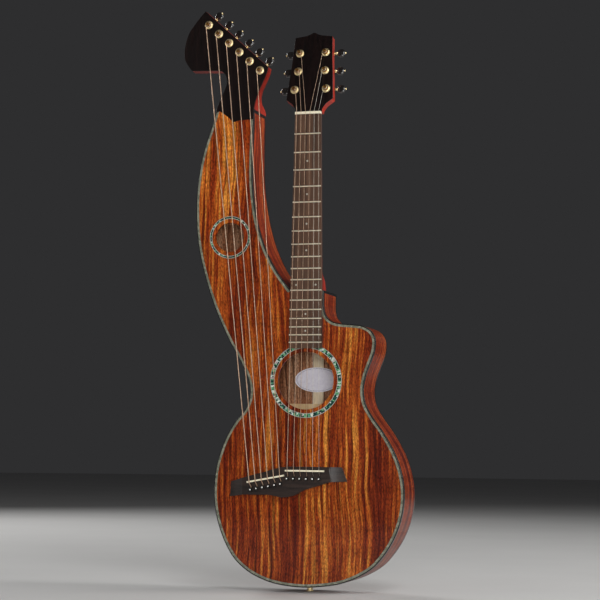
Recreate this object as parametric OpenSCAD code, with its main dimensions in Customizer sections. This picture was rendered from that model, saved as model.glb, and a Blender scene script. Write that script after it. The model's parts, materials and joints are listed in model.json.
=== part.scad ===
// Twelve-string harp guitar: a six-string neck and a hollow harp arm that
// carries six open bass strings. The soundboard faces -Y, the strings run
// along +Z, and x = 0 is the centreline of the neck. The origin is where the
// end pin leaves the tail, half way through the depth of the body.

/* [Body] */
// Depth of the body from the tail to the neck
body_depth = 90; // [86:1:94]
// Depth of the hollow arm at its top
arm_depth = 74; // [72:1:80]
// Thickness of the soundboard
top_t = 3; // [2.5:0.5:3.5]
// Thickness of the back plates
back_t = 3; // [2.5:0.5:4]
// Thickness of the ribs
rib_t = 2.4; // [2:0.1:3]
// Width of the binding, measured on the soundboard
binding_w = 2; // [1:0.5:2]
// Height of the binding on the side
binding_h = 6; // [5:0.5:8]
// Width of the purfling strip inside the binding
purfling_w = 3.8; // [2:0.1:5]
// Depth of the inlaid purfling and rosettes
inlay_t = 1.5; // [1:0.1:2]
// Height of the neck shoulder above the tail
shoulder_z = 522; // [520:1:524]
// Height at which the arm ends and the harp head begins
arm_top_z = 847; // [845:1:848]

/* [Sound holes] */
// Radius of the main sound hole
hole_r = 51; // [45:0.5:54]
// Height of the main sound hole
hole_z = 362; // [360:1:364]
// Outer radius of the main rosette
rosette_r = 66; // [64:0.5:67]
// Width of the main rosette
rosette_w = 8.5; // [6:0.5:10]
// Radius of the arm sound hole
arm_hole_r = 26.5; // [22:0.5:30]
// Place of the arm sound hole across the body
arm_hole_x = -145; // [-148:1:-142]
// Height of the arm sound hole
arm_hole_z = 620; // [612:1:628]
// Outer radius of the arm rosette
arm_rosette_r = 38.5; // [37:0.5:40]
// Width of the arm rosette
arm_rosette_w = 5; // [4:0.5:6]

/* [Neck] */
// Scale length from nut to saddle
scale_length = 632; // [628:1:636]
// Height of the nut above the tail
nut_z = 838; // [836:1:840]
// Width of the nut
nut_w = 47.4; // [44:0.1:50]
// Width of the fretboard at its lower end
board_end_w = 60.4; // [56:0.1:62]
// Height of the fretboard's lower end above the tail
board_end_z = 419; // [416:1:421]
// Thickness of the fretboard
board_t = 7; // [6:0.5:8]
// Number of frets
fret_count = 18; // [12:1:18]
// Depth of the neck below the fretboard at the nut
neck_t_nut = 15; // [13:0.5:17]
// Depth of the neck below the fretboard at the body
neck_t_heel = 18; // [16:0.5:20]

/* [Heads] */
// Angle by which the neck's head leans back
head_tilt = 12; // [10:1:14]
// Thickness of the neck's head with its veneer
head_t = 15.5; // [14:0.5:17]
// Thickness of the harp head with its veneer
harp_t = 22; // [18:0.5:24]
// Thickness of the black veneer on the neck's head
veneer_t = 1.5; // [1:0.5:2]
// Spacing of the harp head's tuning posts
harp_pitch = 26.6; // [26:0.1:27.5]
// Slope of the row of posts on the harp head
harp_slope = 42; // [41:1:43]

/* [Tuners] */
// Radius of a tuning post
post_r = 3; // [2.5:0.1:3.2]
// Height of a tuning post above the head's face
post_h = 10; // [8:0.5:13]
// Radial clearance of every turning shaft
fit = 0.05; // [0.03:0.01:0.08]
// Outer radius of the collar around a post
collar_r = 7.7; // [6:0.1:8]
// Distance from a post's axis to its worm shaft
worm_offset = 6.5; // [6.5:0.1:7]
// Distance from a post's axis to its button
button_start = 15.4; // [15.4:0.1:17]
// Length of a button
button_l = 16; // [12:0.5:18]

/* [Bridge] */
// Thickness of the bridge
bridge_t = 9; // [7:0.5:10]
// Height of the saddles' tops above the soundboard
saddle_h = 12.3; // [11:0.1:13]
// Distance between neighbouring strings at the saddle
string_pitch = 11.6; // [10:0.1:12]
// Distance between neighbouring bass strings at their saddle
bass_pitch = 11.2; // [10:0.1:12]

/* [Hidden] */

// Smoothness of turned parts and the steps in each span of an outline.
$fn = 48;
span_steps = 4;
// A length that reaches past every face of the body.
far = 1200;

// Outline of the body, anticlockwise from the top of the arm, round the tail
// and up the cutaway to the neck shoulder. Pairs are [x, z].
OUTER = [
    [-175, 852], [-182, 828], [-191.5, 800], [-198, 778], [-203.5, 755],
    [-207.5, 727], [-210, 700], [-210.5, 675], [-209.5, 645], [-206.5, 615],
    [-200.5, 583], [-191.5, 550], [-180, 515], [-168, 484], [-154.5, 455],
    [-140, 427], [-127.5, 406], [-116.5, 386], [-108.5, 369], [-104, 354],
    [-103, 339], [-105.5, 324], [-113.5, 308], [-126, 294], [-139, 275],
    [-150, 253], [-159, 228], [-165, 203], [-167.5, 176], [-167, 150],
    [-163, 124], [-155, 97], [-143, 70], [-127, 46], [-105, 27], [-78, 13],
    [-45, 3.8], [0, 0], [45, 3.8], [74, 10.5], [103, 23], [128, 40], [150, 67],
    [165, 94], [174.5, 122], [179, 150], [178.5, 180], [172, 210],
    [160, 240], [141, 272], [122, 298], [109, 321], [105, 345], [108.5, 368],
    [116, 390], [123.5, 410], [126, 428], [123.5, 441], [115, 452],
    [100, 459], [80, 461.3], [58, 463.5], [44, 468.5], [34.5, 479], [31, 494],
    [31, 507], [31, 522]];
// Inner side of the arm, from the neck shoulder up to the arm's top.
ARM_INNER = [
    [-30, 522], [-42, 537], [-57, 558], [-70, 581], [-82, 608], [-91, 636],
    [-97.5, 664], [-102, 695], [-104.5, 725], [-105, 760], [-104, 800],
    [-103.5, 830], [-104, 852]];
// How the back lies behind the soundboard: pairs are [depth, height].
BACK = [
    [body_depth, -20], [body_depth, 300], [body_depth, 600], [body_depth, 640],
    [body_depth - 2, 675], [body_depth - 6.5, 715],
    [arm_depth + 5, 755], [arm_depth + 1.5, 800], [arm_depth, 860]];
// Face of the neck's head, right half, from the nut to the peak.
HEAD_HALF = [
    [24.4, 5.5], [24.8, 10], [27, 14], [31, 20], [38, 25.5], [43.3, 29.5],
    [42.2, 45], [40, 75], [37.3, 105], [34.6, 151], [14, 154], [7, 156.5],
    [2, 159.6]];
// Face of the harp head, from the arm's left edge round to the right edge.
HARP_LEFT = [
    [-175, 848], [-173.5, 857], [-168, 872], [-161.5, 886], [-156.5, 899],
    [-156, 909], [-158.5, 917], [-163, 922.5], [-168, 925.5], [-176, 926.5]];
HARP_WING = [
    [-223, 928], [-229, 935], [-234, 943], [-238, 952], [-238.5, 964],
    [-236, 981], [-230, 999], [-221, 1012], [-210, 1026], [-199, 1038]];
HARP_RIGHT = [
    [-78, 928.5], [-80.5, 918], [-87, 903], [-93, 890], [-98, 877],
    [-101.5, 867], [-103.5, 857], [-104, 848]];
// Lower edge of the harp head's veneer, from left to right.
VENEER_EDGE = [
    [-175, 848], [-169, 851], [-163, 848], [-152, 839], [-142, 830],
    [-131, 833], [-104, 834]];
// The bridge seen from the front, without its two thin wings.
BRIDGE = [
    [-112, 189.5], [-89, 196], [-70, 201], [-54, 206], [-40, 209],
    [-27, 210.5], [46, 210.5], [50, 184.5], [43, 183], [30, 178.5],
    [13, 173.5], [-1, 169], [-10, 163.5], [-17, 160], [-28, 157],
    [-40, 156], [-51, 158.5], [-64, 160.5], [-86, 160], [-111, 160]];
WING_BASS = [[-112, 189.5], [-134, 183], [-136, 156.5], [-111, 160]];
WING_TREBLE = [[46, 210.5], [68, 210.5], [78, 185.5], [50, 184.5]];

saddle_z = nut_z - scale_length;
nut_l = 4.5;
head_at = [0, -4, nut_z];
dot_frets = [3, 5, 7, 9, 15, 17];
twin_dot_x = 18;
dot_r = 1.7;
dot_t = 1;
soundboard_gap = 0.05;
block_x = [-46, 29];
block_z = 462;
tail_block_x = 45;
tail_block_z = 26;
lining_w = 8;
lining_h = 12;
rod_w = 6;
rod_y = [4, 12];
rod_end_z = 470;
rod_nut_r = 4.5;
strip_t = 4.5;
strip_z = shoulder_z - strip_t;
tenon_w = 22;
tenon_y = 70;
tenon_z = 502;
pin_r = 2.5;
main_pin_z = 189.5;
string_rs = [0.55, 0.48, 0.4, 0.32, 0.24, 0.2];
bass_rs = [0.95, 0.9, 0.85, 0.8, 0.75, 0.7];
nut_string_pitch = 8.1;
shoulder_x = 31;
joint_strip_t = 6;
wing_l = 34;
label_at = [-2, 367];
label_size = [84, 45];
end_pin_r = 6.5;
end_pin_shank_r = 4.5;

// ---------------------------------------------------------------- outlines

// Point at t in the span between b and c of a Catmull-Rom curve.
function span_point(a, b, c, d, t) =
    0.5 * (2 * b + (c - a) * t + (2 * a - 5 * b + 4 * c - d) * t * t
    + (3 * b - a - 3 * c + d) * t * t * t);

// Smooth curve through pts with n steps in each span.
function curve(pts, n = span_steps) =
    let (last = len(pts) - 1)
    concat(
        [for (i = [0:last - 1]) for (k = [0:n - 1])
            span_point(pts[max(i - 1, 0)], pts[i], pts[i + 1],
                pts[min(i + 2, last)], k / n)],
        [pts[last]]);

// The same curve moved d to its left, which is into the body.
function moved(c, d) =
    let (last = len(c) - 1)
    [for (i = [0:last])
        let (along = c[min(i + 1, last)] - c[max(i - 1, 0)])
        c[i] + d * [-along[1], along[0]] / norm(along)];

function reversed(list) = [for (i = [len(list) - 1:-1:0]) list[i]];
function band(c, d0, d1) = concat(moved(c, d0), reversed(moved(c, d1)));

outer_curve = curve(OUTER);
arm_curve = curve(ARM_INNER);
back_curve = curve(BACK);

function board_half(z) =
    (nut_w + (board_end_w - nut_w) * (nut_z - z) / (nut_z - board_end_z)) / 2;
function fret_z(n) = nut_z - scale_length * (1 - pow(2, -n / 12));
function harp_post(i) =
    [-192, 1012] + i * harp_pitch * [cos(harp_slope), -sin(harp_slope)];

// Height of the bass saddle's middle line at x.
function bass_saddle_z(x) = 182 + (x + 103) * 13 / 70;
function main_string_x(i) = 0.5 + (i - 2.5) * string_pitch;
function bass_string_x(i) = -98 + i * bass_pitch;
function main_pin_x(i) = (i - 2.5) * string_pitch;
function bass_pin(i) = [-96 + 11 * i, 169 + 2.2 * i];

// Posts of the neck's head: [x, distance along the head, side].
NECK_POSTS = [
    [-29.2, 48.6, -1], [-25, 84.3, -1], [-24, 119.6, -1],
    [24, 119.6, 1], [25, 84.3, 1], [29.2, 48.6, 1]];

// ---------------------------------------------------------------- frames

// Puts the soundboard's face at half the body's depth in front of the origin.
module in_body() {
    translate([0, -body_depth / 2, 0]) children();
}

// A slab with its outline in x and z, between depths y0 and y1.
module slab(y0, y1) {
    translate([0, y1, 0]) rotate([90, 0, 0]) linear_extrude(y1 - y0) children();
}

// Everything in front of the back's surface, less an inner margin.
module front_of_back(margin = 0) {
    pts = concat([[-100, -20]], [for (p = back_curve) [p[0] - margin, p[1]]],
        [[-100, 860]]);
    translate([-far / 2, 0, 0]) rotate([90, 0, 90]) linear_extrude(far) polygon(pts);
}

module inner_region(d) {
    polygon(concat(moved(outer_curve, d), moved(arm_curve, d)));
}

module below_arm_top(top = arm_top_z) {
    intersection() {
        children();
        translate([-far / 2, -far / 2, -50]) cube([far, far, top + 50]);
    }
}

// A strip along the whole edge, between offsets d0 and d1.
module edge_band(d0, d1) {
    polygon(band(outer_curve, d0, d1));
    polygon(band(arm_curve, d0, d1));
}

module in_head() {
    translate(head_at) rotate([-head_tilt, 0, 0]) children();
}

// Local frame of tuner n (1 to 12): the post's axis is +Y, its knob points
// along +X and its worm lies towards +Z. Tuners 1 to 6 are on the neck.
module at_tuner(n) {
    if (n <= 6) {
        p = NECK_POSTS[n - 1];
        in_head() translate([p[0], 0, p[1]])
            mirror([p[2] < 0 ? 1 : 0, 0, 0]) children();
    } else {
        p = harp_post(n - 7);
        translate([p[0], 0, p[1]]) rotate([0, harp_slope - 90, 0]) children();
    }
}
function head_thickness(n) = n <= 6 ? head_t : harp_t;

// A cylinder along +Y from y0 to y1.
module bar_y(r, y0, y1) {
    translate([0, y1, 0]) rotate([90, 0, 0]) cylinder(h = y1 - y0, r = r);
}
// A cylinder along +X from x0 to x1.
module bar_x(r, x0, x1) {
    translate([x0, 0, 0]) rotate([0, 90, 0]) cylinder(h = x1 - x0, r = r);
}
module box(x, y, z) {
    translate([x[0], y[0], z[0]]) cube([x[1] - x[0], y[1] - y[0], z[1] - z[0]]);
}
// A brace from a to b on the plane at y0, w wide, reaching y1.
module brace(a, b, w, y0, y1) {
    v = b - a;
    translate([a[0], y0, a[1]]) rotate([0, -atan2(v[1], v[0]), 0])
        translate([0, 0, -w / 2]) cube([norm(v), y1 - y0, w]);
}

// ---------------------------------------------------------------- body

module pin_holes() {
    for (i = [0:5]) {
        translate([main_pin_x(i), 0, main_pin_z]) bar_y(pin_r, -20, 20);
        translate([bass_pin(i)[0], 0, bass_pin(i)[1]]) bar_y(pin_r, -20, 20);
    }
}

module hole_centres() {
    translate([0, 0, hole_z]) children(0);
    translate([arm_hole_x, 0, arm_hole_z]) children(1);
}

module ring_y(r, w, y0, y1) {
    difference() {
        bar_y(r, y0, y1);
        bar_y(r - w, y0 - 1, y1 + 1);
    }
}

module rosettes() {
    color("darkseagreen") in_body() hole_centres() {
        ring_y(rosette_r, rosette_w, 0, inlay_t, $fn = 96);
        ring_y(arm_rosette_r, arm_rosette_w, 0, inlay_t, $fn = 96);
    }
}

module below_veneer() {
    polygon(concat([[-300, 848]], VENEER_EDGE, [[300, 834], [300, -50], [-300, -50]]));
}

module soundboard() {
    color("chocolate") in_body() difference() {
        intersection() {
            slab(0, top_t) inner_region(binding_w);
            slab(-1, top_t + 1) below_veneer();
        }
        slab(-1, inlay_t) edge_band(-1, binding_w + purfling_w);
        hole_centres() {
            bar_y(hole_r, -1, top_t + 1, $fn = 96);
            bar_y(arm_hole_r, -1, top_t + 1, $fn = 96);
        }
        hole_centres() {
            ring_y(rosette_r, rosette_w, -1, inlay_t, $fn = 96);
            ring_y(arm_rosette_r, arm_rosette_w, -1, inlay_t, $fn = 96);
        }
        pin_holes();
    }
}

module top_binding() {
    color("black") in_body() {
        intersection() {
            slab(0, top_t) edge_band(0, binding_w);
            slab(-1, top_t) below_veneer();
        }
        below_arm_top() slab(top_t, binding_h) edge_band(0, binding_w);
    }
}

module top_purfling() {
    color("darkslategray") in_body() intersection() {
        slab(0, inlay_t) edge_band(binding_w, binding_w + purfling_w);
        slab(-1, inlay_t + 1) below_veneer();
    }
}

module back_binding() {
    color("black") in_body() below_arm_top() difference() {
        intersection() {
            slab(0, body_depth + 10) edge_band(0, binding_w);
            front_of_back();
        }
        front_of_back(binding_h);
    }
}

// The stretch of a strip along the edge that becomes a rib.
module rib_strip(c) {
    intersection() {
        slab(binding_h, body_depth + 10) polygon(band(c, 0, rib_t));
        front_of_back(binding_h);
    }
}

// Half of the outer rib, left (-1) or right (1) of the end pin's hole.
module outer_rib(side) {
    color("sienna") in_body() below_arm_top() difference() {
        rib_strip(outer_curve);
        translate([side < 0 ? 0 : -far, -far / 2, -far / 2]) cube([far, far, far * 2]);
        translate([0, body_depth / 2, -5]) cylinder(h = 20, r = end_pin_shank_r);
    }
}
module rib_bass() outer_rib(-1);
module rib_treble() {
    difference() {
        outer_rib(1);
        in_body() box([0, 2 * shoulder_x], [0, body_depth], [strip_z, shoulder_z + 1]);
    }
}
module rib_arm_inner() {
    color("sienna") in_body() below_arm_top() rib_strip(arm_curve);
}

module back_plates() {
    color("sienna") in_body() below_arm_top() difference() {
        intersection() {
            slab(0, body_depth + 10) inner_region(binding_w);
            front_of_back();
        }
        front_of_back(back_t);
    }
}

// Black strip across the shoulder, under the neck's heel. It shows in the
// side, between the two bindings.
module shoulder_strip() {
    inner = shoulder_x - binding_w - 0.4;
    color("black") in_body() difference() {
        union() {
            box([-30, inner], [top_t, body_depth - back_t], [strip_z, shoulder_z]);
            box([inner - 1, shoulder_x], [binding_h, body_depth - binding_h],
                [strip_z, shoulder_z]);
        }
        box([-tenon_w / 2, tenon_w / 2], [0, tenon_y], [strip_z - 1, shoulder_z + 1]);
    }
}

module block_outline() {
    intersection() {
        inner_region(binding_w + 0.4);
        translate([block_x[0], block_z]) square([block_x[1] - block_x[0], strip_z - block_z]);
    }
}

module neck_block() {
    color("burlywood") in_body() difference() {
        slab(top_t, body_depth - back_t) block_outline();
        box([-tenon_w / 2, tenon_w / 2], [0, tenon_y], [tenon_z, 600]);
        box([-rod_w / 2, rod_w / 2], rod_y, [rod_end_z, 600]);
        translate([0, (rod_y[0] + rod_y[1]) / 2, block_z - 1])
            cylinder(h = rod_end_z - block_z + 1, r = rod_nut_r + 0.5);
    }
}

module tail_block() {
    color("burlywood") in_body() difference() {
        slab(top_t, body_depth - back_t) intersection() {
            inner_region(rib_t);
            translate([-tail_block_x, 0]) square([2 * tail_block_x, tail_block_z]);
        }
        translate([0, body_depth / 2, -1]) cylinder(h = 40, r = end_pin_shank_r);
    }
}

module linings() {
    color("peru") in_body() below_arm_top(arm_top_z - 12) difference() {
        union() {
            slab(top_t, top_t + lining_h) edge_band(rib_t, rib_t + lining_w);
            intersection() {
                slab(0, body_depth + 10) edge_band(rib_t, rib_t + lining_w);
                difference() {
                    front_of_back(back_t);
                    front_of_back(back_t + lining_h);
                }
            }
        }
        box([block_x[0] - 1, 60], [0, 100], [block_z - 1, 600]);
        box([-tail_block_x - 1, tail_block_x + 1], [0, 100], [-5, tail_block_z + 5]);
    }
}

module top_braces() {
    color("tan") in_body() difference() {
        intersection() {
            union() {
                brace([-165, 134], [130, 399], 8, top_t, top_t + 14);
                brace([165, 134], [-130, 399], 8, top_t, top_t + 14);
                brace([-110, 437], [115, 437], 12, top_t, top_t + 14);
                brace([-120, 70], [60, 130], 7, top_t, top_t + 10);
                brace([-60, 30], [110, 88], 7, top_t, top_t + 10);
                brace([-200, 545], [-40, 545], 9, top_t, top_t + 12);
                brace([-215, 690], [-90, 690], 9, top_t, top_t + 12);
                brace([-215, 770], [-90, 770], 9, top_t, top_t + 12);
            }
            slab(0, 40) inner_region(rib_t + lining_w + 0.5);
        }
        box([-122, 62], [0, 40], [148, 218]);
    }
}

module bridge_plate() {
    color("burlywood") in_body() difference() {
        box([-121, 61], [top_t, top_t + 3], [149, 217]);
        pin_holes();
    }
}

// Bars across the inside of the back, shaped to it.
module back_braces() {
    color("tan") in_body() difference() {
        intersection() {
            union() {
                for (z = [90, 205, 318, 440]) {
                    brace([-190, z], [190, z], 10, 60, 100);
                }
                for (z = [560, 690, 790]) {
                    brace([-215, z], [-60, z], 9, 50, 100);
                }
            }
            slab(0, 120) inner_region(rib_t + lining_w + 0.5);
            front_of_back(back_t);
        }
        front_of_back(back_t + 14);
    }
}

// A pale strip over the back's centre joint, between the braces.
module back_centre_strip() {
    color("wheat") in_body() difference() {
        box([-9.5, 9.5], [body_depth - back_t - 2.5, body_depth - back_t],
            [tail_block_z + 6, block_z - 6]);
        for (z = [90, 205, 318, 440]) {
            box([-20, 20], [0, 100], [z - 5, z + 5]);
        }
    }
}

// A plain oval paper label on a thin card, laid over the centre strip.
module label() {
    front = body_depth - back_t - 2.8;
    color("white") in_body() slab(front, front + 0.3)
        translate(label_at) scale([label_size[0] / label_size[1], 1])
            circle(d = label_size[1], $fn = 64);
}

// ---------------------------------------------------------------- neck

module board_outline(z0, z1) {
    polygon([[-board_half(z0), z0], [board_half(z0), z0],
        [board_half(z1), z1], [-board_half(z1), z1]]);
}

// Rounded shaft: a cone whose surface passes the board's edges and the
// stated depth at both ends.
module neck_shaft() {
    z0 = shoulder_z;
    z1 = nut_z + 8;
    r0 = round_r(board_half(z0), neck_t_heel);
    r1 = round_r(board_half(nut_z), neck_t_nut);
    c0 = neck_t_heel - r0;
    c1 = neck_t_nut - r1;
    lean = atan2(c1 - c0, z1 - z0);
    intersection() {
        slab(0, 40) board_outline(z0, z1);
        translate([0, c0, z0]) rotate([-lean, 0, 0]) translate([0, 0, -20])
            cylinder(h = z1 - z0 + 40, r1 = r0 + 20 * (r0 - r1) / (z1 - z0),
                r2 = r1 - 20 * (r0 - r1) / (z1 - z0), $fn = 96);
    }
}
function round_r(half, depth) = (half * half + depth * depth) / (2 * depth);

// Heel: its side view is swept along X and cut to its plan view.
module neck_heel() {
    heel_back = body_depth - 5;
    inside = 4;
    back = [[heel_back, 4], [80, 11], [75, 19], [66, 26], [50, 31.5], [34, 37],
        [22, 50], [inside, 84]];
    side = concat([[inside, shoulder_z], [heel_back, shoulder_z]],
        curve([for (p = back) [p[0], shoulder_z + p[1]]], 3));
    half = curve([[24, inside], [23, 18], [18, 38], [14.5, 62], [13, heel_back]], 3);
    intersection() {
        translate([-50, 0, 0]) rotate([90, 0, 90]) linear_extrude(100) polygon(side);
        translate([0, 0, shoulder_z - 10]) linear_extrude(140)
            polygon(concat(half, [for (p = reversed(half)) [-p[0], p[1]]]));
    }
}

module head_outline() {
    polygon(concat(HEAD_HALF, [for (p = reversed(HEAD_HALF)) [-p[0], p[1]]]));
}

module tuner_wood_holes(first, last) {
    for (n = [first:last]) {
        at_tuner(n) {
            bar_y(4.9, -1, head_thickness(n) + 1);
            translate([0, 0, -9.5]) bar_y(1.1, head_thickness(n) - 8, head_thickness(n) + 1);
        }
    }
}

module neck() {
    color("firebrick") in_body() difference() {
        union() {
            neck_shaft();
            neck_heel();
            box([-tenon_w / 2, tenon_w / 2], [top_t + 2, tenon_y], [tenon_z, shoulder_z + 1]);
            in_head() slab(veneer_t, head_t) head_outline();
        }
        tuner_wood_holes(1, 6);
        box([-rod_w / 2, rod_w / 2], rod_y, [tenon_z - 1, nut_z - 8]);
        nut_space();
    }
}

module neck_head_veneer() {
    color([0.07, 0.06, 0.06]) in_body() difference() {
        in_head() slab(0, veneer_t) head_outline();
        tuner_wood_holes(1, 6);
        nut_space();
    }
}

module nut_space() {
    box([-60, 60], [-20, 0], [nut_z - 1, nut_z + nut_l]);
}

module dot_places() {
    for (n = dot_frets) {
        translate([0, 0, (fret_z(n) + fret_z(n - 1)) / 2]) children();
    }
    for (side = [-1, 1]) {
        translate([side * twin_dot_x, 0, (fret_z(12) + fret_z(11)) / 2]) children();
    }
}

module fretboard() {
    color([0.25, 0.18, 0.14]) in_body() difference() {
        slab(-board_t, 0) board_outline(board_end_z, nut_z);
        dot_places() bar_y(dot_r, -board_t - 1, -board_t + dot_t);
    }
}

module fret_dots() {
    color("ivory") in_body() dot_places() bar_y(dot_r, -board_t, -board_t + dot_t);
}

module frets() {
    color("palegoldenrod") in_body() for (n = [1:fret_count]) {
        half = board_half(fret_z(n));
        intersection() {
            translate([0, -board_t, fret_z(n)]) bar_x(1.15, -half, half);
            box([-60, 60], [-board_t - 2, -board_t], [fret_z(n) - 2, fret_z(n) + 2]);
        }
    }
}

module nut() {
    color("ivory") in_body()
        box([-nut_w / 2, nut_w / 2], [-board_t - 1.9, 0], [nut_z, nut_z + nut_l]);
}

module truss_rod() {
    color("silver") in_body()
        box([-rod_w / 2, rod_w / 2], rod_y, [rod_end_z, nut_z - 8]);
}

module truss_rod_nut() {
    color("silver") in_body()
        translate([0, (rod_y[0] + rod_y[1]) / 2, 0]) difference() {
            translate([0, 0, block_z - 2])
                cylinder(h = rod_end_z - block_z + 1.7, r = rod_nut_r - 0.5);
            translate([0, 0, block_z - 3]) cylinder(h = 7, r = 2.3, $fn = 6);
        }
}

// ---------------------------------------------------------------- harp head

module harp_outline() {
    polygon(concat(
        curve(HARP_LEFT), curve(HARP_WING),
        curve(HARP_RIGHT)));
}

module harp_head() {
    neck_z = arm_top_z + joint_strip_t;
    foot = [[arm_depth, 4], [arm_depth * 0.92, 8], [arm_depth * 0.76, 12],
        [arm_depth * 0.56, 16], [harp_t + 10, 21], [harp_t + 3.5, 27], [harp_t, 36]];
    side = concat([[top_t, neck_z], [arm_depth, neck_z]],
        curve([for (p = foot) [p[0], neck_z + p[1]]]),
        [[harp_t, 1060], [top_t, 1060]]);
    color("sienna") in_body() difference() {
        intersection() {
            slab(0, 100) harp_outline();
            translate([-260, 0, 0]) rotate([90, 0, 90]) linear_extrude(220) polygon(side);
        }
        tuner_wood_holes(7, 12);
    }
}

module harp_head_veneer() {
    color([0.07, 0.06, 0.06]) in_body() difference() {
        slab(0, top_t) polygon(concat(
            curve(HARP_LEFT), curve(HARP_WING), curve(HARP_RIGHT),
            reversed(VENEER_EDGE)));
        tuner_wood_holes(7, 12);
    }
}

// Black strip between the arm and the harp head.
module arm_joint_strip() {
    color("black") in_body() intersection() {
        slab(top_t, arm_depth) polygon([[-176, 840], [-103.8, 840], [-103.8, 860], [-174.6, 860]]);
        box([-260, 0], [0, 100], [arm_top_z, arm_top_z + joint_strip_t]);
    }
}

// ---------------------------------------------------------------- strings

module saddle_solids(y0) {
    box([-33, 38.5], [y0, -4], [saddle_z - 4.2, saddle_z - 1.2]);
    brace([-103, 182], [-34.5, 182 + 68.5 * 13 / 70], 3, y0, -4);
}

// A wing of the bridge: its face dips in a hollow curve from the middle's
// full height, at x, to the thin end wing_l further out (side -1 or 1).
module wing(outline, x, side) {
    hollow = curve([[-6, bridge_t], [0, bridge_t], [7, bridge_t * 0.78],
        [15, bridge_t * 0.6], [24, bridge_t * 0.48], [wing_l, bridge_t * 0.42]]);
    intersection() {
        slab(-bridge_t, 0) polygon(outline);
        translate([x, 0, 100]) linear_extrude(200)
            polygon(concat([[-side * 6, 0]], [for (p = hollow) [side * p[0], -p[1]]],
                [[side * wing_l, 0]]));
    }
}

module bridge() {
    color([0.22, 0.18, 0.16]) in_body() difference() {
        union() {
            slab(-bridge_t, 0) polygon(BRIDGE);
            wing(WING_BASS, WING_BASS[0][0], -1);
            wing(WING_TREBLE, WING_TREBLE[0][0], 1);
        }
        saddle_solids(-20);
        pin_holes();
    }
}

module saddles() {
    color("ivory") in_body() saddle_solids(-saddle_h);
}

module bridge_pins() {
    color("black") in_body() {
        for (i = [0:5]) {
            translate([main_pin_x(i), 0, main_pin_z]) pin();
            translate([bass_pin(i)[0], 0, bass_pin(i)[1]]) pin();
        }
    }
}

module pin() {
    bar_y(pin_r, -bridge_t, 12);
    bar_y(3.6, -bridge_t - 1.6, -bridge_t);
    intersection() {
        translate([0, -bridge_t - 1.6, 0]) sphere(r = 3.6);
        bar_y(4, -bridge_t - 6, -bridge_t - 1.6);
    }
}

// One string of radius r swept through pts, eight-sided.
module string(pts, r) {
    sides = 8;
    last = len(pts) - 1;
    rings = [for (i = [0:last])
        let (
            along = unit(pts[min(i + 1, last)] - pts[max(i - 1, 0)]),
            across = unit(cross([0, 1, 0], along)),
            up = cross(along, across))
        for (k = [0:sides - 1])
            pts[i] + r * (cos(360 * k / sides) * across + sin(360 * k / sides) * up)];
    faces = concat(
        [[for (k = [0:sides - 1]) k]],
        [for (i = [0:last - 1]) for (k = [0:sides - 1])
            let (next = (k + 1) % sides)
            [i * sides + k, (i + 1) * sides + k, (i + 1) * sides + next, i * sides + next]],
        [[for (k = [sides - 1:-1:0]) last * sides + k]]);
    polyhedron(points = rings, faces = faces);
}
function unit(v) = v / norm(v);

function head_point(x, y, s) =
    head_at + [x, y * cos(head_tilt) + s * sin(head_tilt),
        s * cos(head_tilt) - y * sin(head_tilt)];

// Where each neck string meets its post, on the side nearer the middle.
function neck_string_end(i, r) =
    let (p = NECK_POSTS[i])
    head_point(p[0] - p[2] * (post_r + r + 0.3), -6.5, p[1] - 1);

module strings() {
    color([0.8, 0.68, 0.5]) in_body() {
        for (i = [0:5]) {
            r = string_rs[i];
            x = main_string_x(i);
            nut_x = (i - 2.5) * nut_string_pitch;
            string([
                [main_pin_x(i) + 1.4, -bridge_t - r - 0.3, main_pin_z + 5.2],
                [x, -saddle_h - r - soundboard_gap, saddle_z - 4.3],
                [x, -saddle_h - r - soundboard_gap, saddle_z - 1.2],
                [nut_x, -board_t - 1.9 - r - soundboard_gap, nut_z],
                [nut_x, -board_t - 1.9 - r - soundboard_gap, nut_z + nut_l],
                neck_string_end(i, r)], r);
        }
        for (i = [0:5]) {
            r = bass_rs[i];
            x = bass_string_x(i);
            z = bass_saddle_z(x);
            post = harp_post(i);
            string([
                [bass_pin(i)[0] + 0.6, -bridge_t - r - 0.3, bass_pin(i)[1] + 5.2],
                [x, -saddle_h - r - soundboard_gap, z - 2.2],
                [x, -saddle_h - r - soundboard_gap, z + 2.2],
                [post[0] - post_r - r - 0.3, -6.5, post[1] - 4]], r);
        }
    }
}

// ---------------------------------------------------------------- tuners

module collar() {
    difference() {
        union() {
            bar_y(4.9, 0, 9);
            bar_y(collar_r, -1, 0);
            bar_y(collar_r - 0.9, -2, -1);
        }
        bar_y(post_r + fit, -3, 10);
    }
}

module tuner_collars() {
    color("gold") in_body() for (n = [1:12]) {
        at_tuner(n) collar();
    }
}

// Gear case on the back of a head of thickness t, with its fixing screw.
module housing(t) {
    difference() {
        union() {
            box([-7.5, 8.5], [t, t + 10.5], [-7, 11.5]);
            translate([0, 0, -9.5]) bar_y(3, t, t + 2);
            box([-3, 3], [t, t + 2], [-9.5, -6]);
            translate([0, t + 5, worm_offset]) bar_x(3.4, 8, 11.5);
        }
        bar_y(post_r + fit, t - 1, t + 9);
        bar_y(4.6, t + 2, t + 8);
        translate([0, t + 5, worm_offset]) {
            bar_x(2.3, -5.5, 5.5);
            bar_x(1.5 + fit, 5, 12);
        }
    }
    translate([0, 0, -9.5]) {
        bar_y(1.1, t - 8, t);
        bar_y(2.2, t + 2, t + 3.2);
    }
}

module tuner_housings() {
    color("gold") in_body() for (n = [1:12]) {
        at_tuner(n) housing(head_thickness(n));
    }
}

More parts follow.
